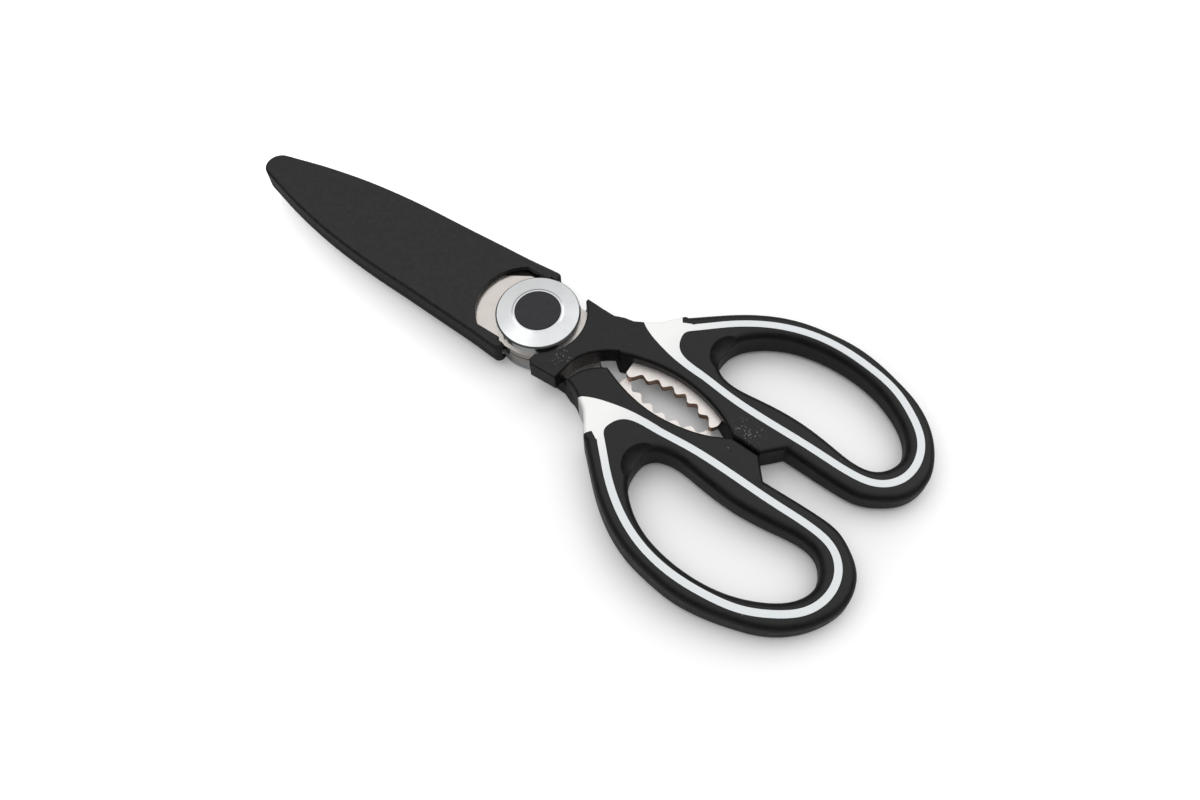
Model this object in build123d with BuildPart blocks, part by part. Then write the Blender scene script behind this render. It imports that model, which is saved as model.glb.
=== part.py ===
from build123d import *
from math import cos, radians, sin
import os

# Kitchen shears with a slip-on sheath, lying flat. Millimetres.
# Origin on the pivot axis at the lowest face of the pivot, +X along the handles' centre line
# towards the blade tips, +Z up. The lower half has its bow on the +Y side, the upper half on -Y.

# Overall sizes
pivot_stack = 13.8          # height from the lower insert's face to the upper insert's face
handle_reach = 118.0        # pivot axis to the rear of the bows
bow_spread = 46.3           # centre line to the outermost side of a bow
blade_reach = 101.5         # pivot axis to the blade tips
skew = 2.1                  # degrees between the blades' axis and the handles' centre line
fit = 0.05                  # running clearance on the pivot's faces and bores
overrun = 5.0               # how far cutting shapes run past what they cut
curve_steps = 40            # points on a line that runs beside a curve

mid = pivot_stack / 2       # height of the plane on which the two blades meet

# Blades
blade_thickness = 2.2
bolster_radius = 13.15      # round boss of the blade under the cap; the back runs on from its side
edge_start = 20.0           # pivot axis to the heel of the cutting edge
edge_width = 5.6            # blades' axis to the heel of the cutting edge
heel_start = 11.2           # pivot axis to the corner where the heel's slope begins
heel_width = 11.1
bevel_width = 2.6           # ground face beside the cutting edge
bevel_depth = 1.7
tang_end_share = 0.532      # share of the handle's reach at which the tang ends
tang_corner = 1.6           # centre line to the corner at the end of the tang
tooth_count = 7
tooth_centre_share = 0.4025  # share of the handle's reach at the middle tooth
tooth_row_share = 0.2263    # share of the handle's reach from the first tip to the last
tooth_depth = 1.5
tooth_line = 3.1            # centre line to the tip of the middle tooth
tooth_sag = 3.0             # the tips at both ends of the row lie this much nearer the centre line

# Pivot
bolt_radius = 3.0
bolt_head_radius = 5.2
bolt_head_height = 2.4
nut_radius = 5.6
nut_height = 1.7
washer_radius = 8.6
washer_thickness = 0.5
spring_radius = 5.4
spring_thickness = 0.5
spring_rise = 0.3
cap_radius = 12.6           # upper cap
foot_cap_radius = 12.9      # lower cap
foot_rim_drop = 0.45        # its rim lies this much inside the lower insert's face
cap_wall = 1.1
cap_rim_drop = 0.9          # the upper cap's rim lies this much under the insert's face
cap_slope_drop = 0.4        # the inner end of a cap's slope lies this much under it
cap_lip_drop = 0.25         # and its inner lip this much
cap_lip = 0.4               # width of the flat lip beside the insert
cap_lip_foot = 0.5          # width of the slope that leads up to the lip
cap_bevel = 0.45
cap_top = 1.1               # thickness of the cap's top
insert_radius = 6.9
insert_thickness = 1.5
insert_edge = 0.15

# Handles
neck_half_height = 6.6      # half the handle's height beside the pivot
rear_half_height = 3.8      # half the handle's height at the rear of the bows
neck_start = 10.0           # pivot axis to the place where the height is taken
stripe_width = 2.1
bow_round = 2.3             # rounding along the outside of the bow
neck_round = 1.2            # rounding along the gap between the handles and at the neck
hole_round = 2.6            # rounding along the finger hole
plate_round = 0.6
plate_gap = 0.15            # the neck plate ends this much from the blades' meeting plane
plate_clearance = 1.4       # the neck plate stays this much from the bolster
grip_split = 83.0           # pivot axis to the seam between shoulder and outer grip
stop_gap = 0.35             # centre line to the face of a stop tab
dish_radius = 9.0           # hollow in the inner grip where a finger rests
dish_depth = 3.0
dish_place = 54.5
dish_side = 21.5

# Sheath
sheath_tip_room = 7.9       # blade tips to the sheath's outer tip
sheath_play = 1.45          # between the boss's side and the sheath's wall at the mouth
sheath_height = 8.0
sheath_mouth = 2.6          # pivot axis to the mouth
sheath_wall = 1.6
mouth_round = 1.8
tip_radius = 4.7
tip_lean = 16.7             # degrees between the sheath's sides and its axis where the tip's round begins
sheath_face = 1.45          # thickness of the sheath's broad faces
sheath_part_line = 1.3      # the shells part this far under the blades' meeting plane
sheath_groove = 0.35
sheath_edge = 0.7
window_place = 4.8          # centre of the window's round end
window_radius = 15.0
window_width = 12.45        # blades' axis to the window's straight sides
window_step = 5.2           # pivot axis to the step where the window widens towards the mouth
window_clearance = 0.3      # between the boss and the window's wide end

# Outline points, chosen by hand. First number: share of the reach away from the pivot.
# Second number: share of the spread away from the centre line.
stripe_shares = [
    (0.330, 0.395), (0.353, 0.294), (0.424, 0.259), (0.508, 0.238), (0.636, 0.232),
    (0.763, 0.236), (0.856, 0.238), (0.907, 0.272), (0.941, 0.368), (0.949, 0.486),
    (0.930, 0.631), (0.884, 0.742), (0.819, 0.833), (0.745, 0.877), (0.669, 0.892),
    (0.593, 0.873), (0.509, 0.799), (0.405, 0.616), (0.345, 0.470),
]
hole_shares = [
    (0.438, 0.437), (0.454, 0.347), (0.500, 0.307), (0.560, 0.317), (0.678, 0.341),
    (0.790, 0.313), (0.847, 0.300), (0.888, 0.326), (0.914, 0.396), (0.924, 0.492),
    (0.911, 0.594), (0.877, 0.687), (0.831, 0.760), (0.766, 0.822), (0.694, 0.848),
    (0.622, 0.840), (0.550, 0.795), (0.489, 0.705), (0.446, 0.577),
]
bow_shares = [
    (0.280, 0.427), (0.293, 0.341), (0.335, 0.272), (0.410, 0.205), (0.520, 0.151),
    (0.640, 0.127), (0.750, 0.117), (0.847, 0.112), (0.898, 0.127), (0.942, 0.185),
    (0.981, 0.279), (0.998, 0.386), (1.000, 0.486), (0.988, 0.590), (0.966, 0.691),
    (0.930, 0.793), (0.881, 0.877), (0.820, 0.936), (0.753, 0.981), (0.670, 1.000),
    (0.619, 0.988), (0.550, 0.955), (0.479, 0.883), (0.407, 0.764), (0.346, 0.631),
    (0.304, 0.534),
]
front_shares = [
    (0.304, 0.534), (0.280, 0.462), (0.257, 0.392), (0.235, 0.352), (0.205, 0.306), (0.175, 0.283),
]
neck_end_shares = [(0.175, 0.283), (0.188, 0.182), (0.235, 0.062)]
lens_shares = [
    (0.235, 0.062), (0.287, 0.108), (0.334, 0.136), (0.381, 0.149), (0.424, 0.145),
    (0.466, 0.128), (0.508, 0.099), (0.551, 0.049),
]
tab_shares = [(0.580, 0.0), (0.655, 0.0), (0.700, 0.135), (0.700, 0.301), (0.424, 0.562)]
white_front_shares = [
    (0.220, 0.363), (0.231, 0.334), (0.254, 0.298), (0.297, 0.259), (0.339, 0.233),
    (0.390, 0.216), (0.441, 0.211),
]
white_back_shares = [
    (0.441, 0.211), (0.424, 0.302), (0.373, 0.432), (0.330, 0.503), (0.309, 0.475),
    (0.290, 0.542), (0.220, 0.542), (0.220, 0.363),
]
plate_outer_shares = [(0.250, 0.324), (0.186, 0.291), (0.161, 0.263), (0.127, 0.261)]
plate_lens_shares = [(0.157, -0.163), (0.175, -0.056), (0.207, 0.028), (0.246, 0.092)]
tang_shares = [
    (0.060, 0.222), (0.127, 0.226), (0.212, 0.224), (0.339, 0.209), (0.424, 0.197), (0.532, 0.168),
]
tang_root_shares = [
    (0.268, 0.095), (0.233, 0.073), (0.207, 0.045), (0.186, -0.020), (0.110, -0.118), (0.060, -0.172),
]
# Corners of the neck plate beside the pivot: shares of the radius of the plate's arc
plate_top_share = (0.639, 0.838)
plate_arc_shares = [(0.640, 0.768), (1.0, 0.0), (0.576, -0.817)]
plate_end_shares = [(0.576, -0.817), (0.564, -0.983), (0.639, -1.065), (1.230, -1.024)]
shoulder_share = 0.39       # share of the spread up to which the shoulder's rubber runs

# The sheath's half widths and the blade's back: shares of the reach, shares of the width
sheath_shares = [
    (0.092, 0.969), (0.229, 0.918), (0.366, 0.872), (0.512, 0.828), (0.585, 0.787),
    (0.658, 0.732), (0.731, 0.657), (0.804, 0.562), (0.878, 0.444), (0.937, 0.336),
]
back_shares = [
    (0.110, 1.0), (0.246, 0.938), (0.394, 0.885), (0.552, 0.792), (0.670, 0.708),
    (0.788, 0.577), (0.867, 0.446), (0.946, 0.231), (1.0, 0.0),
]

plate_radius = bolster_radius + plate_clearance
sheath_reach = blade_reach + sheath_tip_room
sheath_width = bolster_radius + sheath_play + sheath_wall
blade_axis = (cos(radians(skew)), sin(radians(skew)), 0)


def place(shares, reach=handle_reach, width=bow_spread):
    """Points of the lower half's plan, away from the pivot along -X."""
    return [(-along * reach, across * width) for along, across in shares]


def half_turn(part):
    """The same shape for the other half, turned about the centre line."""
    return part.rotate(Axis((0, 0, mid), (1, 0, 0)), 180)


def half_height(x):
    """Half the handle's height at x: it thins from the neck to the rear of the bows."""
    slope = (neck_half_height - rear_half_height) / (handle_reach - neck_start)
    return neck_half_height + slope * (x + neck_start)


def blade_plane(z):
    """Plane at height z whose X runs along the blades."""
    return Plane(origin=(0, 0, z), x_dir=blade_axis, z_dir=(0, 0, 1))


def beside(curve, distance):
    """Points spread along a curve and shifted to its left by the distance."""
    points = []
    for i in range(curve_steps + 1):
        ahead = curve % (i / curve_steps)
        points.append(curve @ (i / curve_steps) + Vector(-ahead.Y, ahead.X, 0) * distance)
    return points


def broad_edges(part):
    """Edges that lie in the two broad faces of a handle shape."""
    return part.edges().filter_by(
        lambda edge: all(
            abs(abs((edge @ share).Z - mid) - half_height((edge @ share).X)) < fit for share in (0, 0.5, 1)
        )
    )


# Blades
def make_blade(side):
    """One blade with its boss and tang; side is 1 for the upper half and -1 for the lower."""
    low = mid + fit if side > 0 else mid - fit - blade_thickness
    outer_face = low + blade_thickness if side > 0 else low
    back = [(along * blade_reach, side * across * bolster_radius) for along, across in back_shares]
    heel = (edge_start, -side * edge_width)
    boss_heel = (heel_start, -side * heel_width)
    boss_sides = [(0, -side * bolster_radius), (0, side * bolster_radius)]
    outer_tang = [(x, -side * y) for x, y in place(tang_shares)]
    root_tang = [(x, -side * y) for x, y in place(tang_root_shares)]

    half_row = handle_reach * tooth_row_share / 2
    teeth = [(-handle_reach * tang_end_share, -side * tang_corner)]
    for i in range(2 * tooth_count):
        row_share = i / (tooth_count - 1) - 1
        tip_line = tooth_line - tooth_sag * row_share ** 2
        across = tip_line + (tooth_depth if i % 2 else 0)
        teeth.append((row_share * half_row - handle_reach * tooth_centre_share, -side * across))

    with BuildPart() as blade:
        with BuildSketch(blade_plane(low)):
            with BuildLine():
                Spline(*back)
                Polyline(back[-1], heel, boss_heel, *boss_sides, back[0])
            make_face()
        with BuildSketch(Plane.XY.offset(low)):
            Circle(bolster_radius)
            with BuildLine():
                Polyline(*outer_tang, teeth[0])
                Spline(*teeth)
                Polyline(teeth[-1], *root_tang, outer_tang[0])
            make_face()
        extrude(amount=blade_thickness)

        # ground face along the cutting edge
        start = blade_plane(outer_face).from_local_coords((edge_start, -side * edge_width, 0))
        end = blade_plane(outer_face).from_local_coords((blade_reach, 0, 0))
        along_edge = (end - start).normalized()
        inward = Vector(0, 0, side).cross(along_edge)
        with BuildSketch(Plane(origin=start, x_dir=inward, z_dir=along_edge)):
            with BuildLine():
                Polyline(
                    (bevel_width, 0),
                    (-bevel_width, -2 * bevel_depth),
                    (-bevel_width, bevel_depth),
                    (bevel_width, bevel_depth),
                    close=True,
                )
            make_face()
        extrude(amount=(end - start).length + overrun, mode=Mode.SUBTRACT)

        with BuildSketch(Plane.XY.offset(low)):
            Circle(bolt_radius + fit)
        extrude(amount=blade_thickness, mode=Mode.SUBTRACT)
    return blade.part


with BuildPart() as upper_blade:
    add(make_blade(1))

with BuildPart() as lower_blade:
    add(make_blade(-1))

# Plan regions of the lower handle
with BuildSketch() as stripe_inner:
    with BuildLine():
        stripe_line = Spline(*place(stripe_shares), periodic=True)
    make_face()

with BuildSketch() as stripe_outer:
    with BuildLine():
        Spline(*beside(stripe_line, stripe_width)[:-1], periodic=True)
    make_face()

with BuildSketch() as finger_hole:
    with BuildLine():
        Spline(*place(hole_shares), periodic=True)
    make_face()

with BuildSketch() as bow_plan:
    with BuildLine():
        Spline(*place(bow_shares), periodic=True)
    make_face()

with BuildSketch() as neck_plan:
    with BuildLine():
        Spline(*place(front_shares))
        ThreePointArc(*place(neck_end_shares))
        lens = Spline(*place(lens_shares))
        tab = [(-along * handle_reach, max(across * bow_spread, stop_gap)) for along, across in tab_shares]
        Polyline(lens @ 1, *tab, place(front_shares)[0])
    make_face()

with BuildSketch() as white_neck:
    with BuildLine():
        Spline(*place(white_front_shares))
        Polyline(*place(white_back_shares))
    make_face()

with BuildSketch() as plate_plan:
    with BuildLine():
        outer_line = place(plate_outer_shares)
        arc_points = place(plate_arc_shares, plate_radius, plate_radius)
        lens_line = place(plate_lens_shares)
        Polyline(*outer_line, *place([plate_top_share], plate_radius, plate_radius), arc_points[0])
        ThreePointArc(*arc_points)
        Polyline(*place(plate_end_shares, plate_radius, plate_radius), lens_line[0])
        Spline(*lens_line)
        Line(lens_line[-1], outer_line[0])
    make_face()

with BuildSketch() as shoulder_zone:
    top_y = bow_spread * shoulder_share
    with BuildLine():
        Polyline(
            (-grip_split, -bow_spread), (overrun, -bow_spread), (overrun, top_y), (-grip_split, top_y), close=True
        )
    make_face()

# The space that the handles may fill: thick at the neck, thinner towards the rear
with BuildPart() as envelope:
    front_x = overrun
    rear_x = -handle_reach - overrun
    with BuildSketch(Plane.XZ) as side_view:
        with BuildLine():
            Polyline(
                (front_x, mid - half_height(front_x)),
                (front_x, mid + half_height(front_x)),
                (rear_x, mid + half_height(rear_x)),
                (rear_x, mid - half_height(rear_x)),
                close=True,
            )
        make_face()
    extrude(amount=bow_spread + overrun, both=True)

with BuildPart() as bow_body:
    with BuildSketch():
        add(bow_plan.sketch)
    extrude(amount=pivot_stack)
    add(envelope.part, mode=Mode.INTERSECT)
    fillet(broad_edges(bow_body.part), radius=bow_round)

with BuildPart() as neck_body:
    with BuildSketch():
        add(neck_plan.sketch)
    extrude(amount=pivot_stack)
    add(envelope.part, mode=Mode.INTERSECT)
    fillet(broad_edges(neck_body.part), radius=neck_round)

with BuildPart() as hole_body:
    with BuildSketch():
        add(finger_hole.sketch)
    extrude(amount=pivot_stack)

with BuildPart() as handle_body:
    add(bow_body.part)
    add(neck_body.part)
    add(hole_body.part, mode=Mode.SUBTRACT)

    def beside_hole(edge):
        c = edge.center(CenterOf.MASS)
        middle = hole_body.part.center()
        away = ((c.X - middle.X) ** 2 + (c.Y - middle.Y) ** 2) ** 0.5
        return edge.length > handle_reach and away < overrun

    fillet(broad_edges(handle_body.part).filter_by(beside_hole), radius=hole_round)

    # hollows in both faces of the inner grip
    for side in (1, -1):
        face_z = mid + side * half_height(-dish_place)
        with Locations((-dish_place, dish_side, face_z + side * (dish_radius - dish_depth))):
            Sphere(dish_radius, mode=Mode.SUBTRACT)


# Handle pieces of the lower half
with BuildPart() as inner_zone:
    with BuildSketch():
        add(stripe_inner.sketch)
    extrude(amount=pivot_stack)

with BuildPart() as core_zone:
    with BuildSketch():
        add(stripe_outer.sketch)
        add(white_neck.sketch)
    extrude(amount=pivot_stack)
    add(inner_zone.part, mode=Mode.SUBTRACT)

with BuildPart() as front_zone:
    with BuildSketch():
        add(shoulder_zone.sketch)
    extrude(amount=pivot_stack)

with BuildPart() as neck_plate:
    with BuildSketch():
        add(plate_plan.sketch)
    extrude(amount=mid - plate_gap)
    add(envelope.part, mode=Mode.INTERSECT)
    inside_x = (outer_line[0][0] + lens_line[-1][0]) / 2
    fillet(
        broad_edges(neck_plate.part).filter_by(lambda edge: edge.center(CenterOf.MASS).X > inside_x + fit),
        radius=plate_round,
    )

with BuildPart() as lower_inner_grip:
    add(handle_body.part)
    add(inner_zone.part, mode=Mode.INTERSECT)

with BuildPart() as lower_core:
    add(handle_body.part)
    add(core_zone.part, mode=Mode.INTERSECT)
    add(lower_blade.part, mode=Mode.SUBTRACT)

with BuildPart() as dark_body:
    add(handle_body.part)
    add(core_zone.part, mode=Mode.SUBTRACT)
    add(inner_zone.part, mode=Mode.SUBTRACT)

with BuildPart() as lower_outer_grip:
    add(dark_body.part)
    add(front_zone.part, mode=Mode.SUBTRACT)

with BuildPart() as lower_shoulder:
    add(dark_body.part)
    add(front_zone.part, mode=Mode.INTERSECT)
    add(neck_plate.part)
    add(core_zone.part, mode=Mode.SUBTRACT)
    add(lower_blade.part, mode=Mode.SUBTRACT)

# Handle pieces of the upper half
with BuildPart() as upper_inner_grip:
    add(half_turn(lower_inner_grip.part))

with BuildPart() as upper_core:
    add(half_turn(lower_core.part))

with BuildPart() as upper_outer_grip:
    add(half_turn(lower_outer_grip.part))

with BuildPart() as upper_shoulder:
    add(half_turn(lower_shoulder.part))

# Pivot, built upwards from the blades' faces
blades_top = mid + fit + blade_thickness
blades_bottom = mid - fit - blade_thickness
upper_washer_z = blades_top + fit
head_z = upper_washer_z + washer_thickness
lower_washer_z = blades_bottom - fit - washer_thickness
spring_z = lower_washer_z - spring_rise - spring_thickness
nut_z = spring_z - nut_height

with BuildPart() as pivot_bolt:
    with BuildSketch(Plane.XY.offset(nut_z)):
        Circle(bolt_radius)
    extrude(amount=head_z - nut_z)
    with BuildSketch(Plane.XY.offset(head_z)):
        Circle(bolt_head_radius)
    extrude(amount=bolt_head_height)

with BuildPart() as pivot_nut:
    with BuildSketch(Plane.XY.offset(nut_z)):
        RegularPolygon(nut_radius, 6)
        Circle(bolt_radius + fit, mode=Mode.SUBTRACT)
    extrude(amount=nut_height)

with BuildPart() as upper_friction_washer:
    with BuildSketch(Plane.XY.offset(upper_washer_z)):
        Circle(washer_radius)
        Circle(bolt_radius + fit, mode=Mode.SUBTRACT)
    extrude(amount=washer_thickness)

with BuildPart() as lower_friction_washer:
    with BuildSketch(Plane.XY.offset(lower_washer_z)):
        Circle(washer_radius)
        Circle(bolt_radius + fit, mode=Mode.SUBTRACT)
    extrude(amount=washer_thickness)

with BuildPart() as spring_washer:
    with BuildSketch(Plane.XZ):
        with BuildLine():
            Polyline(
                (bolt_radius + fit, spring_z),
                (spring_radius, spring_z + spring_rise),
                (spring_radius, spring_z + spring_rise + spring_thickness),
                (bolt_radius + fit, spring_z + spring_thickness),
                close=True,
            )
        make_face()
    revolve(axis=Axis.Z)


def make_cap(radius, rim_drop):
    """A cap ring as it lies on top: a drum that slopes up to the lip round the insert."""
    sleeve_inner = nut_radius + fit
    sleeve_outer = insert_radius + cap_lip
    lip_foot = sleeve_outer + cap_lip_foot
    with BuildPart() as cap:
        with BuildSketch(Plane.XZ):
            with BuildLine():
                Polyline(
                    (radius, blades_top + fit),
                    (radius, pivot_stack - rim_drop - cap_bevel),
                    (radius - cap_bevel, pivot_stack - rim_drop),
                    (lip_foot, pivot_stack - cap_slope_drop),
                    (sleeve_outer, pivot_stack - cap_lip_drop),
                    (insert_radius, pivot_stack - cap_lip_drop),
                    (insert_radius, pivot_stack - insert_thickness),
                    (sleeve_inner, pivot_stack - insert_thickness),
                    (sleeve_inner, head_z),
                    (sleeve_outer, head_z),
                    (sleeve_outer, pivot_stack - cap_slope_drop - cap_top),
                    (radius - cap_wall, pivot_stack - rim_drop - cap_top),
                    (radius - cap_wall, blades_top + fit),
                    close=True,
                )
            make_face()
        revolve(axis=Axis.Z)
    return cap.part


def make_insert():
    """The round disc in the middle of the upper cap ring, with a bare face."""
    with BuildPart() as disc:
        with BuildSketch(Plane.XY.offset(pivot_stack - insert_thickness)):
            Circle(insert_radius - fit)
        extrude(amount=insert_thickness)
        chamfer(disc.faces().sort_by(Axis.Z)[-1].edges(), length=insert_edge)
    return disc.part


with BuildPart() as top_cap_ring:
    add(make_cap(cap_radius, cap_rim_drop))

with BuildPart() as top_cap_insert:
    add(make_insert())

with BuildPart() as bottom_cap_ring:
    add(half_turn(make_cap(foot_cap_radius, foot_rim_drop)))

with BuildPart() as bottom_cap_insert:
    add(half_turn(make_insert()))

# Sheath
sheath_low = mid - sheath_height / 2
part_z = mid - sheath_part_line

tip_slope = (cos(radians(tip_lean)), -sin(radians(tip_lean)))
tip_start = (sheath_reach - tip_radius * (1 + tip_slope[1]), tip_radius * tip_slope[0])

with BuildLine() as sheath_side:
    side_points = [(along * sheath_reach, across * sheath_width) for along, across in sheath_shares]
    Spline((sheath_mouth, sheath_width), *side_points, tip_start, tangents=((1, 0), tip_slope))


def sheath_plan(z, inset):
    """The sheath's plan at height z, drawn in from its outline by the inset."""
    side = beside(sheath_side.line.edge(), -inset)
    other_side = [(point.X, -point.Y) for point in side]
    with BuildSketch(blade_plane(z)) as plan:
        with BuildLine():
            Spline(*side, tangents=((1, 0), tip_slope))
            Spline(*other_side, tangents=((1, 0), (tip_slope[0], -tip_slope[1])))
            ThreePointArc(side[-1], (sheath_reach - inset, 0), other_side[-1])
            Line(side[0], other_side[0])
        make_face()
    return plan.sketch


with BuildPart() as sheath_solid:
    extrude(sheath_plan(sheath_low, 0), amount=sheath_height)
    fillet(sheath_solid.edges().filter_by(Axis.Z).sort_by(Axis.X)[:2], radius=mouth_round)
    chamfer(
        sheath_solid.faces().filter_by(Axis.Z).edges().filter_by(lambda edge: edge.length > sheath_reach / 2),
        length=sheath_edge,
    )

with BuildPart() as sheath_room:
    room_low = sheath_low + sheath_face
    room_height = sheath_height - 2 * sheath_face
    extrude(sheath_plan(room_low, sheath_wall), amount=room_height)
    with BuildSketch(blade_plane(room_low)):
        with Locations(((sheath_mouth - overrun) / 2, 0)):
            Rectangle(sheath_mouth + overrun, 2 * (sheath_width - sheath_wall))
    extrude(amount=room_height)

with BuildPart() as window:
    with BuildSketch(blade_plane(sheath_low)):
        with Locations((window_place, 0)):
            Circle(window_radius)
            Rectangle(2 * window_radius, 2 * window_width, mode=Mode.INTERSECT)
        with Locations(((window_step - overrun) / 2, 0)):
            Rectangle(window_step + overrun, 2 * (bolster_radius + window_clearance))
    extrude(amount=sheath_height)

with BuildPart() as lower_space:
    with BuildSketch(blade_plane(sheath_low)):
        with Locations((sheath_reach / 2, 0)):
            Rectangle(sheath_reach + 2 * overrun, 2 * (sheath_width + overrun))
    extrude(amount=part_z - sheath_low)

with BuildPart() as groove:
    extrude(sheath_plan(part_z, 0), amount=sheath_groove)
    extrude(sheath_plan(part_z, sheath_groove), amount=sheath_groove, mode=Mode.SUBTRACT)

with BuildPart() as sheath_bottom_shell:
    add(sheath_solid.part)
    add(lower_space.part, mode=Mode.INTERSECT)
    add(sheath_room.part, mode=Mode.SUBTRACT)
    add(window.part, mode=Mode.SUBTRACT)

with BuildPart() as sheath_top_shell:
    add(sheath_solid.part)
    add(lower_space.part, mode=Mode.SUBTRACT)
    add(sheath_room.part, mode=Mode.SUBTRACT)
    add(window.part, mode=Mode.SUBTRACT)
    add(groove.part, mode=Mode.SUBTRACT)

os.makedirs("parts", exist_ok=True)

upper_blade.part.label = "upper_blade"
export_step(upper_blade.part, "parts/upper_blade.step")
upper_core.part.label = "upper_core"
export_step(upper_core.part, "parts/upper_core.step")
upper_shoulder.part.label = "upper_shoulder"
export_step(upper_shoulder.part, "parts/upper_shoulder.step")
upper_outer_grip.part.label = "upper_outer_grip"
export_step(upper_outer_grip.part, "parts/upper_outer_grip.step")
upper_inner_grip.part.label = "upper_inner_grip"
export_step(upper_inner_grip.part, "parts/upper_inner_grip.step")

lower_blade.part.label = "lower_blade"
export_step(lower_blade.part, "parts/lower_blade.step")
lower_core.part.label = "lower_core"
export_step(lower_core.part, "parts/lower_core.step")
lower_shoulder.part.label = "lower_shoulder"
export_step(lower_shoulder.part, "parts/lower_shoulder.step")
lower_outer_grip.part.label = "lower_outer_grip"
export_step(lower_outer_grip.part, "parts/lower_outer_grip.step")
lower_inner_grip.part.label = "lower_inner_grip"
export_step(lower_inner_grip.part, "parts/lower_inner_grip.step")

pivot_bolt.part.label = "pivot_bolt"
export_step(pivot_bolt.part, "parts/pivot_bolt.step")
pivot_nut.part.label = "pivot_nut"
export_step(pivot_nut.part, "parts/pivot_nut.step")
spring_washer.part.label = "spring_washer"
export_step(spring_washer.part, "parts/spring_washer.step")
upper_friction_washer.part.label = "upper_friction_washer"
export_step(upper_friction_washer.part, "parts/upper_friction_washer.step")
lower_friction_washer.part.label = "lower_friction_washer"
export_step(lower_friction_washer.part, "parts/lower_friction_washer.step")
top_cap_ring.part.label = "top_cap_ring"
export_step(top_cap_ring.part, "parts/top_cap_ring.step")
top_cap_insert.part.label = "top_cap_insert"
export_step(top_cap_insert.part, "parts/top_cap_insert.step")
bottom_cap_ring.part.label = "bottom_cap_ring"
export_step(bottom_cap_ring.part, "parts/bottom_cap_ring.step")
bottom_cap_insert.part.label = "bottom_cap_insert"
export_step(bottom_cap_insert.part, "parts/bottom_cap_insert.step")

sheath_top_shell.part.label = "sheath_top_shell"
export_step(sheath_top_shell.part, "parts/sheath_top_shell.step")
sheath_bottom_shell.part.label = "sheath_bottom_shell"
export_step(sheath_bottom_shell.part, "parts/sheath_bottom_shell.step")
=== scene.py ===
import bpy
import bmesh
from mathutils import Matrix, Vector


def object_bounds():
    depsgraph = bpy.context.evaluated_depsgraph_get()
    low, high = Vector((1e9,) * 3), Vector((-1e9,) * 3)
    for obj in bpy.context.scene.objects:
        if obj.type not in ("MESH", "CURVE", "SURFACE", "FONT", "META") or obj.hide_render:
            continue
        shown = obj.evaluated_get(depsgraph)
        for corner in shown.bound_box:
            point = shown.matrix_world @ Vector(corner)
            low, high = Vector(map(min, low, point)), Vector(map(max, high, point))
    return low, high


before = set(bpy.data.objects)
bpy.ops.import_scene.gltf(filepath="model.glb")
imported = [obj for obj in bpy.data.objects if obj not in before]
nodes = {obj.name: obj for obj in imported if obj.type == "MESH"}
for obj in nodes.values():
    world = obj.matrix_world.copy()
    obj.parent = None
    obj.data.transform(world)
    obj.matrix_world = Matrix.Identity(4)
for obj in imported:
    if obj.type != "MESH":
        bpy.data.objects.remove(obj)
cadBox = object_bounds()
print("frame loaded,", len(nodes), "nodes")

# camera
cameraView = {
    "place": (-0.12233, 0.12343, 0.26981),
    "forward": (0.3056, -0.37627, -0.87466),
    "right": (-0.79906, -0.60089, -0.0207),
    "lens": 31.47,
    "sensor": 36.0,
}


def addCamera(view):
    ahead = Vector(view["forward"]).normalized()
    right = Vector(view["right"])
    right = (right - right.dot(ahead) * ahead).normalized()
    up = right.cross(ahead)
    turn = Matrix((right, up, -ahead)).transposed().to_4x4()
    data = bpy.data.cameras.new("camera")
    data.lens = view["lens"]
    data.sensor_width = view["sensor"]
    camera = bpy.data.objects.new("camera", data)
    bpy.context.scene.collection.objects.link(camera)
    camera.matrix_world = Matrix.Translation(view["place"]) @ turn
    bpy.context.scene.camera = camera


addCamera(cameraView)
print("camera placed")


# node tree helpers
def newGroup(name, inputs, outputs):
    tree = bpy.data.node_groups.new(name, "ShaderNodeTree")
    for label, kind, value in inputs:
        socket = tree.interface.new_socket(label, in_out="INPUT", socket_type=kind)
        if value is not None:
            socket.default_value = value
    for label, kind in outputs:
        tree.interface.new_socket(label, in_out="OUTPUT", socket_type=kind)
    start = tree.nodes.new("NodeGroupInput")
    end = tree.nodes.new("NodeGroupOutput")
    return tree, start.outputs, end.inputs


def addNode(tree, kind, values=None, links=None, **settings):
    node = tree.nodes.new(kind)
    for key, value in settings.items():
        setattr(node, key, value)
    for key, value in (values or {}).items():
        node.inputs[key].default_value = value
    for key, source in (links or {}).items():
        tree.links.new(source, node.inputs[key])
    return node


def mathNode(tree, operation, first, second=None, third=None):
    node = tree.nodes.new("ShaderNodeMath")
    node.operation = operation
    for index, value in enumerate((first, second, third)):
        if value is None:
            continue
        if isinstance(value, (int, float)):
            node.inputs[index].default_value = value
        else:
            tree.links.new(value, node.inputs[index])
    return node.outputs[0]


# spreads a noise or another value over a new range, with soft ends
def rangeNode(tree, value, low, high, newLow=0.0, newHigh=1.0):
    node = tree.nodes.new("ShaderNodeMapRange")
    node.interpolation_type = "SMOOTHSTEP"
    tree.links.new(value, node.inputs["Value"])
    node.inputs["From Min"].default_value = low
    node.inputs["From Max"].default_value = high
    node.inputs["To Min"].default_value = newLow
    node.inputs["To Max"].default_value = newHigh
    return node.outputs["Result"]


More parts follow.
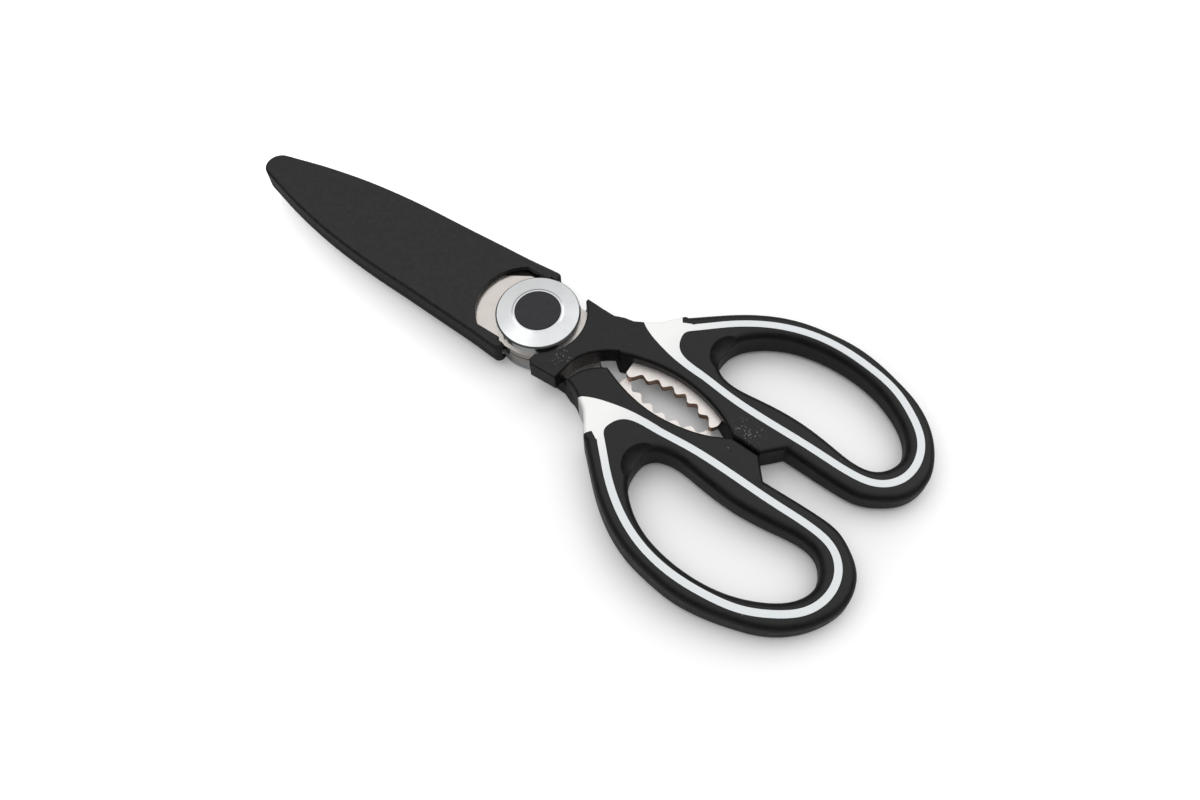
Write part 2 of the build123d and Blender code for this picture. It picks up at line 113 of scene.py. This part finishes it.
def mixColor(tree, factor, first, second):
    node = tree.nodes.new("ShaderNodeMix")
    node.data_type = "RGBA"
    # places of the colour sockets on this node
    factorSocket, firstSocket, secondSocket = node.inputs[0], node.inputs[6], node.inputs[7]
    for socket, value in ((factorSocket, factor), (firstSocket, first), (secondSocket, second)):
        if hasattr(value, "is_linked"):
            tree.links.new(value, socket)
        else:
            socket.default_value = value
    return node.outputs[2]


# parts of a noise's values that are spread over a look
middleSpread = (0.35, 0.65)
wideSpread = (0.3, 0.7)
upperSpread = (0.35, 0.7)

# fine grain: a height for moulded or rubbery surfaces and a mask of small shade changes
grainNoise = {
    "scale": 3000.0, "detail": 2.0, "roughness": 0.6, "pitShare": 0.5,
    "broadScale": 90.0, "broadDetail": 3.0, "broadRoughness": 0.55, "broadShare": 0.5,
}


def makeGrainGroup(noise):
    tree, given, result = newGroup(
        "fineGrain",
        [("Vector", "NodeSocketVector", None), ("Scale", "NodeSocketFloat", noise["scale"]),
         ("Patch", "NodeSocketFloat", noise["broadScale"])],
        [("Height", "NodeSocketFloat"), ("Patches", "NodeSocketFloat")],
    )
    fine = addNode(tree, "ShaderNodeTexNoise", {"Detail": noise["detail"], "Roughness": noise["roughness"]},
                   {"Vector": given["Vector"], "Scale": given["Scale"]})
    pits = addNode(tree, "ShaderNodeTexVoronoi", None, {"Vector": given["Vector"], "Scale": given["Scale"]})
    pitted = mathNode(tree, "MULTIPLY", pits.outputs["Distance"], noise["pitShare"])
    tree.links.new(mathNode(tree, "ADD", fine.outputs["Fac"], pitted), result["Height"])
    broad = addNode(tree, "ShaderNodeTexNoise",
                    {"Detail": noise["broadDetail"], "Roughness": noise["broadRoughness"]},
                    {"Vector": given["Vector"], "Scale": given["Patch"]})
    large = mathNode(tree, "MULTIPLY", broad.outputs["Fac"], noise["broadShare"])
    small = mathNode(tree, "MULTIPLY", fine.outputs["Fac"], 1.0 - noise["broadShare"])
    tree.links.new(mathNode(tree, "ADD", large, small), result["Patches"])
    return tree


# dust: scattered pale specks, thicker in patches
dustNoise = {
    "scale": 420.0, "size": 0.1, "amount": 0.5, "cover": 0.0,
    "patchScale": 60.0, "patchDetail": 2.0, "patchFrom": 0.48, "patchTo": 0.62,
}


def makeDustGroup(noise):
    tree, given, result = newGroup(
        "dustSpecks",
        [("Vector", "NodeSocketVector", None), ("Scale", "NodeSocketFloat", noise["scale"]),
         ("Size", "NodeSocketFloat", noise["size"]), ("Amount", "NodeSocketFloat", noise["amount"]),
         ("Cover", "NodeSocketFloat", noise["cover"])],
        [("Mask", "NodeSocketFloat")],
    )
    cells = addNode(tree, "ShaderNodeTexVoronoi", None,
                    {"Vector": given["Vector"], "Scale": given["Scale"]})
    chance = addNode(tree, "ShaderNodeTexWhiteNoise", None, {"Vector": cells.outputs["Position"]})
    dot = mathNode(tree, "LESS_THAN", cells.outputs["Distance"],
                   mathNode(tree, "MULTIPLY", given["Size"], chance.outputs["Value"]))
    kept = mathNode(tree, "LESS_THAN", chance.outputs["Value"], given["Amount"])
    patch = addNode(tree, "ShaderNodeTexNoise",
                    {"Scale": noise["patchScale"], "Detail": noise["patchDetail"]},
                    {"Vector": given["Vector"]})
    covered = mathNode(tree, "ADD", patch.outputs["Fac"], given["Cover"])
    where = rangeNode(tree, covered, noise["patchFrom"], noise["patchTo"])
    mask = mathNode(tree, "MULTIPLY", mathNode(tree, "MULTIPLY", dot, kept), where)
    tree.links.new(mask, result["Mask"])
    return tree


grainGroup = makeGrainGroup(grainNoise)
dustGroup = makeDustGroup(dustNoise)


def startMaterial(name, look):
    material = bpy.data.materials.new(name)
    material.use_nodes = True
    tree = material.node_tree
    shader = tree.nodes["Principled BSDF"]
    sockets = {"metallic": "Metallic", "roughness": "Roughness", "specular": "Specular IOR Level"}
    for key, socket in sockets.items():
        if key in look:
            shader.inputs[socket].default_value = look[key]
    place = tree.nodes.new("ShaderNodeTexCoord").outputs["Object"]
    return material, tree, shader, place


def useGroup(tree, group, place, values):
    node = tree.nodes.new("ShaderNodeGroup")
    node.node_tree = group
    tree.links.new(place, node.inputs["Vector"])
    for key, value in values.items():
        node.inputs[key].default_value = value
    return node.outputs


def addBump(tree, shader, height, look):
    bump = addNode(tree, "ShaderNodeBump", {"Strength": look["bump"], "Distance": look["bumpDepth"]},
                   {"Height": height})
    tree.links.new(bump.outputs["Normal"], shader.inputs["Normal"])
    if "edge" in look:      # soft edges
        rounded = addNode(tree, "ShaderNodeBevel", {"Radius": look["edge"]}, samples=look["edgeSamples"])
        tree.links.new(rounded.outputs["Normal"], bump.inputs["Normal"])


# dark plastic and rubber
darkLooks = {
    "softGrip": {
        "color": (0.004, 0.004, 0.0042, 1), "light": (0.010, 0.010, 0.010, 1), "specular": 0.28,
        "smooth": 0.36, "rough": 0.52, "grain": 2600.0, "patch": 420.0, "bump": 0.30, "bumpDepth": 0.00006,
        "edge": 0.0004, "edgeSamples": 6, "dust": 0.45, "dustSize": 0.16,
        "dustySpots": [      # place and reach of each
            (-0.0711, -0.0036, 0.0121, 0.0062),      # far stop tab
            (-0.0150, 0.0085, 0.0130, 0.0050),      # corner by the boss
        ],
        "spotScale": 1500.0, "spotCover": 0.5, "spotDust": 1.0, "spotSize": 0.40, "spotStrength": 0.28,
    },
    "sheathPlastic": {
        "color": (0.007, 0.007, 0.0072, 1), "light": (0.017, 0.017, 0.017, 1), "specular": 0.29,
        "smooth": 0.44, "rough": 0.60, "grain": 1800.0, "patch": 520.0, "bump": 0.50, "bumpDepth": 0.00006,
        "edge": 0.0003, "edgeSamples": 6, "dust": 0.25, "dustSize": 0.12,
    },
    "insertPlastic": {
        "color": (0.025, 0.024, 0.027, 1), "light": (0.033, 0.032, 0.036, 1), "specular": 0.18,
        "smooth": 0.50, "rough": 0.60, "grain": 2400.0, "patch": 500.0, "bump": 0.35, "bumpDepth": 0.00006,
        "dust": 0.25, "dustSize": 0.12,
    },
}
dustColor = (0.55, 0.54, 0.52, 1)


def makeDark(name, look):
    material, tree, shader, place = startMaterial(name, look)
    grain = useGroup(tree, grainGroup, place, {"Scale": look["grain"], "Patch": look["patch"]})
    dust = useGroup(tree, dustGroup, place, {"Size": look["dustSize"], "Amount": look["dust"]})
    body = mixColor(tree, rangeNode(tree, grain["Patches"], *middleSpread), look["color"], look["light"])
    specks = dust["Mask"]
    if "dustySpots" in look:      # a thicker sprinkling
        thick = useGroup(tree, dustGroup, place, {"Scale": look["spotScale"], "Size": look["spotSize"],
                                                  "Amount": look["spotDust"], "Cover": look["spotCover"]})
        for x, y, z, reach in look["dustySpots"]:
            away = addNode(tree, "ShaderNodeVectorMath", {1: (x, y, z)}, {0: place}, operation="DISTANCE")
            inside = rangeNode(tree, away.outputs["Value"], 0.0, reach, 1.0, 0.0)
            faint = mathNode(tree, "MULTIPLY", inside, look["spotStrength"])
            specks = mathNode(tree, "MAXIMUM", specks, mathNode(tree, "MULTIPLY", thick["Mask"], faint))
    final = mixColor(tree, specks, body, dustColor)
    tree.links.new(final, shader.inputs["Base Color"])
    rough = rangeNode(tree, grain["Patches"], *wideSpread, look["smooth"], look["rough"])
    tree.links.new(rough, shader.inputs["Roughness"])
    addBump(tree, shader, grain["Height"], look)
    return material


# white core of the handles
coreLook = {
    "neck": (0.870, 0.865, 0.845, 1), "stripe": (0.705, 0.735, 0.750, 1),
    "changeFrom": -0.050, "changeTo": -0.034,      # the stripe turns into the neck between these
    "soiled": (0.62, 0.62, 0.60, 1), "soiledMost": 0.08, "smooth": 0.28, "rough": 0.42,
    "grain": 1500.0, "patch": 120.0, "bump": 0.06, "bumpDepth": 0.00004,
}


def makeCore(look):
    material, tree, shader, place = startMaterial("handleCore", look)
    grain = useGroup(tree, grainGroup, place, {"Scale": look["grain"], "Patch": look["patch"]})
    split = addNode(tree, "ShaderNodeSeparateXYZ", None, {"Vector": place})
    along = rangeNode(tree, split.outputs["X"], look["changeFrom"], look["changeTo"])
    base = mixColor(tree, along, look["stripe"], look["neck"])
    soil = rangeNode(tree, grain["Patches"], *wideSpread, 0.0, look["soiledMost"])
    tree.links.new(mixColor(tree, soil, base, look["soiled"]), shader.inputs["Base Color"])
    rough = rangeNode(tree, grain["Patches"], *wideSpread, look["smooth"], look["rough"])
    tree.links.new(rough, shader.inputs["Roughness"])
    addBump(tree, shader, grain["Height"], look)
    return material


# blade steel, warm and ground across; the stamped walls of the toothed tangs are brown, the boss is bright
steelLook = {
    "face": (0.57, 0.530, 0.502, 1), "shade": (0.51, 0.475, 0.448, 1),
    "tang": (0.74, 0.695, 0.665, 1), "side": (0.42, 0.27, 0.19, 1),
    "brownFrom": -0.030, "brownTo": -0.020,      # the tangs' colours fade out between these
    "wallFrom": 0.5, "wallTo": 0.15,      # a face is a wall from this upright part of its normal down
    "metallic": 0.92,
    "smooth": (0.16, 0.26), "rough": (0.38, 0.50), "bump": 0.03, "bumpDepth": 0.00002,
    "grind": (4000.0, 220.0, 300.0), "grindDetail": 2.0, "cloud": 160.0, "cloudDetail": 3.0,
    "seamHeight": (cadBox[0][2] + cadBox[1][2]) / 2,      # the blades meet half way up
    # a thin band of painted shade along the walls where the blades meet, standing in for the shadow in the
    # gap between them
    "seamShadeHalf": 0.00022, "seamShadeColor": (0.02, 0.018, 0.016, 1),
}


def makeSteel(look):
    material, tree, shader, place = startMaterial("bladeSteel", look)
    stretch = addNode(tree, "ShaderNodeMapping", {"Scale": look["grind"]}, {"Vector": place})
    lines = addNode(tree, "ShaderNodeTexNoise", {"Scale": 1.0, "Detail": look["grindDetail"]},
                    {"Vector": stretch.outputs["Vector"]})
    cloud = addNode(tree, "ShaderNodeTexNoise", {"Scale": look["cloud"], "Detail": look["cloudDetail"]},
                    {"Vector": place})
    face = mixColor(tree, rangeNode(tree, cloud.outputs["Fac"], *upperSpread), look["face"], look["shade"])
    geometry = tree.nodes.new("ShaderNodeNewGeometry")
    split = addNode(tree, "ShaderNodeSeparateXYZ", None, {"Vector": geometry.outputs["True Normal"]})
    upright = mathNode(tree, "ABSOLUTE", split.outputs["Z"])
    wall = rangeNode(tree, upright, look["wallTo"], look["wallFrom"], 1.0, 0.0)
    along = addNode(tree, "ShaderNodeSeparateXYZ", None, {"Vector": place})
    behind = rangeNode(tree, along.outputs["X"], look["brownFrom"], look["brownTo"], 1.0, 0.0)
    brown = mathNode(tree, "MULTIPLY", wall, behind)
    steel = mixColor(tree, brown, mixColor(tree, behind, face, look["tang"]), look["side"])
    # painted shade: the walls are darkened in a thin band at the height where the two blades meet
    height = mathNode(tree, "ABSOLUTE", mathNode(tree, "SUBTRACT", along.outputs["Z"], look["seamHeight"]))
    seam = mathNode(tree, "MULTIPLY", mathNode(tree, "LESS_THAN", height, look["seamShadeHalf"]), wall)
    tree.links.new(mixColor(tree, seam, steel, look["seamShadeColor"]), shader.inputs["Base Color"])
    smooth = rangeNode(tree, lines.outputs["Fac"], *wideSpread, *look["smooth"])
    stamped = rangeNode(tree, lines.outputs["Fac"], *wideSpread, *look["rough"])
    rough = mathNode(tree, "MULTIPLY_ADD", mathNode(tree, "SUBTRACT", stamped, smooth), behind, smooth)
    tree.links.new(rough, shader.inputs["Roughness"])
    addBump(tree, shader, lines.outputs["Fac"], look)
    return material


# bright metals of the pivot, brushed in circles
brightLooks = {
    "capChrome": {"color": (0.625, 0.635, 0.64, 1), "shade": (0.575, 0.59, 0.595, 1), "metallic": 1.0,
                  "smooth": 0.12, "rough": 0.22, "bump": 0.05, "bumpDepth": 0.00002},
    "pivotSteel": {"color": (0.62, 0.62, 0.63, 1), "shade": (0.50, 0.50, 0.51, 1), "metallic": 1.0,
                   "smooth": 0.26, "rough": 0.40, "bump": 0.15, "bumpDepth": 0.00002},
}
turning = {"rings": 6000.0, "layers": 3000.0, "detail": 3.0, "cloud": 120.0, "cloudDetail": 3.0}
flatten = (1.0, 1.0, 0.0)      # leaves the distance from the pivot's axis


def makeBright(name, look):
    material, tree, shader, place = startMaterial(name, look)
    flat = addNode(tree, "ShaderNodeVectorMath", {1: flatten}, {0: place}, operation="MULTIPLY")
    radius = addNode(tree, "ShaderNodeVectorMath", None, {0: flat.outputs["Vector"]}, operation="LENGTH")
    split = addNode(tree, "ShaderNodeSeparateXYZ", None, {"Vector": place})
    rings = addNode(tree, "ShaderNodeCombineXYZ", {"Y": 0.0},
                    {"X": mathNode(tree, "MULTIPLY", radius.outputs["Value"], turning["rings"]),
                     "Z": mathNode(tree, "MULTIPLY", split.outputs["Z"], turning["layers"])})
    lines = addNode(tree, "ShaderNodeTexNoise", {"Scale": 1.0, "Detail": turning["detail"]},
                    {"Vector": rings.outputs["Vector"]})
    cloud = addNode(tree, "ShaderNodeTexNoise",
                    {"Scale": turning["cloud"], "Detail": turning["cloudDetail"]}, {"Vector": place})
    base = mixColor(tree, rangeNode(tree, cloud.outputs["Fac"], *upperSpread), look["color"], look["shade"])
    tree.links.new(base, shader.inputs["Base Color"])
    rough = rangeNode(tree, lines.outputs["Fac"], *wideSpread, look["smooth"], look["rough"])
    tree.links.new(rough, shader.inputs["Roughness"])
    addBump(tree, shader, lines.outputs["Fac"], look)
    return material


# pale plastic of the friction washers
washerLook = {
    "color": (0.78, 0.78, 0.75, 1), "light": (0.70, 0.70, 0.66, 1), "smooth": 0.5, "rough": 0.6,
    "grain": 1800.0, "patch": 300.0, "bump": 0.2, "bumpDepth": 0.00006, "dust": 0.0, "dustSize": 0.1,
}

materials = {name: makeDark(name, look) for name, look in darkLooks.items()}
materials["handleCore"] = makeCore(coreLook)
materials["bladeSteel"] = makeSteel(steelLook)
materials["washerPlastic"] = makeDark("washerPlastic", washerLook)
for name, look in brightLooks.items():
    materials[name] = makeBright(name, look)
print("materials made:", len(materials))

finishes = {
    "bladeSteel": ["upper_blade", "lower_blade"],
    "handleCore": ["upper_core", "lower_core"],
    "softGrip": ["upper_shoulder", "upper_outer_grip", "upper_inner_grip",
                 "lower_shoulder", "lower_outer_grip", "lower_inner_grip"],
    "sheathPlastic": ["sheath_top_shell", "sheath_bottom_shell"],
    "capChrome": ["top_cap_ring", "bottom_cap_ring"],
    "insertPlastic": ["top_cap_insert", "bottom_cap_insert"],
    "pivotSteel": ["pivot_bolt", "pivot_nut", "spring_washer"],
    "washerPlastic": ["upper_friction_washer", "lower_friction_washer"],
}
for finish, names in finishes.items():
    for name in names:
        mesh = nodes[name].data
        mesh.materials.clear()
        mesh.materials.append(materials[finish])
print("CAD nodes finished")

# floor and studio
studio = {
    "floorSize": 12.0, "floorSlope": -0.0263, "floorGap": 0.0001, "roughness": 0.6, "specular": 0.2,
    "floorColor": (0.91, 0.91, 0.915, 1),
    "bounceColor": (0.22, 0.22, 0.22, 1),      # the paper as the object's matt sides see it
    "mirrorColor": (0.50, 0.50, 0.50, 1),      # and as its shiny sides see it
    "glowColor": (1.0, 1.0, 1.0, 1), "glow": 0.01, "paintedLightBeside": 0.10, "farGlow": 1.0,
    "whiteAround": (-0.08, 0.0, 0.0), "whiteShape": (1.0, 0.85, 0.0),      # the handles' place and outline
    "whiteFrom": 0.034, "paintedLightBesideTo": 0.052, "whiteTo": 0.42,      # painted light: outside them the paper's glow rises, washing out the cast shadows beside the handles and by the sheath, and the far paper fades to white
    "worldColor": (1.0, 1.0, 1.0, 1), "brightest": (0.08, -0.22, 0.97),
    "horizonLight": 0.12, "skyLight": 1.55, "skyPower": 1.5,
    "mirrored": (0.10, -0.20, 0.97), "mirroredFrom": 0.35, "mirroredTo": 1.0,
    "flagLight": 0.08, "panelLight": 1.25,      # dark flags low down, a bright panel above
}


def makeFloor(values):
    mesh = bpy.data.meshes.new("floor")
    bm = bmesh.new()
    bmesh.ops.create_grid(bm, x_segments=2, y_segments=2, size=values["floorSize"] / 2)
    for vertex in bm.verts:
        vertex.co.z = values["floorSlope"] * vertex.co.x - values["floorGap"]
    bm.to_mesh(mesh)
    bm.free()
    floor = bpy.data.objects.new("floor", mesh)
    bpy.context.scene.collection.objects.link(floor)
    material, tree, shader, place = startMaterial("floorPaper", values)
    path = tree.nodes.new("ShaderNodeLightPath")
    soft = mixColor(tree, path.outputs["Is Diffuse Ray"], values["floorColor"], values["bounceColor"])
    paper = mixColor(tree, path.outputs["Is Glossy Ray"], soft, values["mirrorColor"])
    tree.links.new(paper, shader.inputs["Base Color"])
    shader.inputs["Emission Color"].default_value = values["glowColor"]
    # painted light on the floor: the camera-only glow grows with distance from the handles, so the cast
    # shadows beside them and by the sheath fade while the finger holes keep their shade
    offset = addNode(tree, "ShaderNodeVectorMath", {1: values["whiteAround"]}, {0: place},
                     operation="SUBTRACT")
    shaped = addNode(tree, "ShaderNodeVectorMath", {1: values["whiteShape"]}, {0: offset.outputs["Vector"]},
                     operation="MULTIPLY")
    away = addNode(tree, "ShaderNodeVectorMath", None, {0: shaped.outputs["Vector"]}, operation="LENGTH")
    beside = rangeNode(tree, away.outputs["Value"], values["whiteFrom"], values["paintedLightBesideTo"],
                       values["glow"], values["paintedLightBeside"])
    far = rangeNode(tree, away.outputs["Value"], values["whiteFrom"], values["whiteTo"],
                    0.0, values["farGlow"])
    glow = mathNode(tree, "ADD", beside, far)
    seen = mathNode(tree, "MULTIPLY", path.outputs["Is Camera Ray"], glow)
    tree.links.new(seen, shader.inputs["Emission Strength"])
    mesh.materials.append(material)


def makeWorld(values):
    world = bpy.data.worlds.new("studio")
    bpy.context.scene.world = world
    world.use_nodes = True
    tree = world.node_tree
    background = tree.nodes["Background"]
    background.inputs["Color"].default_value = values["worldColor"]
    direction = tree.nodes.new("ShaderNodeTexCoord").outputs["Generated"]
    toward = addNode(tree, "ShaderNodeVectorMath", {1: values["brightest"]}, {0: direction},
                     operation="DOT_PRODUCT")
    near = mathNode(tree, "MAXIMUM", toward.outputs["Value"], 0.0)
    rise = mathNode(tree, "POWER", near, values["skyPower"])
    gain = values["skyLight"] - values["horizonLight"]
    sky = mathNode(tree, "MULTIPLY_ADD", rise, gain, values["horizonLight"])
    facing = addNode(tree, "ShaderNodeVectorMath", {1: values["mirrored"]}, {0: direction},
                     operation="DOT_PRODUCT")
    panel = rangeNode(tree, facing.outputs["Value"], values["mirroredFrom"], values["mirroredTo"],
                      values["flagLight"], values["panelLight"])
    path = tree.nodes.new("ShaderNodeLightPath")
    glossy = path.outputs["Is Glossy Ray"]
    change = mathNode(tree, "SUBTRACT", panel, sky)
    seen = mathNode(tree, "MULTIPLY_ADD", change, glossy, sky)
    strength = mathNode(tree, "MAXIMUM", seen, path.outputs["Is Camera Ray"])
    tree.links.new(strength, background.inputs["Strength"])


# two soft lamps, both out of the mirror direction of the flat tops
lamps = {
    "behind": {"place": (-0.3, -1.0, 0.9), "aim": (0.0, 0.0, 0.0), "size": 1.0, "power": 2.4},
    "left": {"place": (0.6, 0.3, 1.1), "aim": (0.0, 0.0, 0.0), "size": 1.0, "power": 1.7},
}


def addLamp(name, values):
    data = bpy.data.lights.new(name, "AREA")
    data.shape = "SQUARE"
    data.size = values["size"]
    data.energy = values["power"]
    lamp = bpy.data.objects.new(name, data)
    bpy.context.scene.collection.objects.link(lamp)
    lamp.location = values["place"]
    beam = Vector(values["aim"]) - Vector(values["place"])
    lamp.rotation_euler = beam.to_track_quat("-Z", "Y").to_euler()


makeFloor(studio)
makeWorld(studio)
for name, values in lamps.items():
    addLamp(name, values)
bpy.context.scene.view_settings.view_transform = "Standard"
print("studio set up")
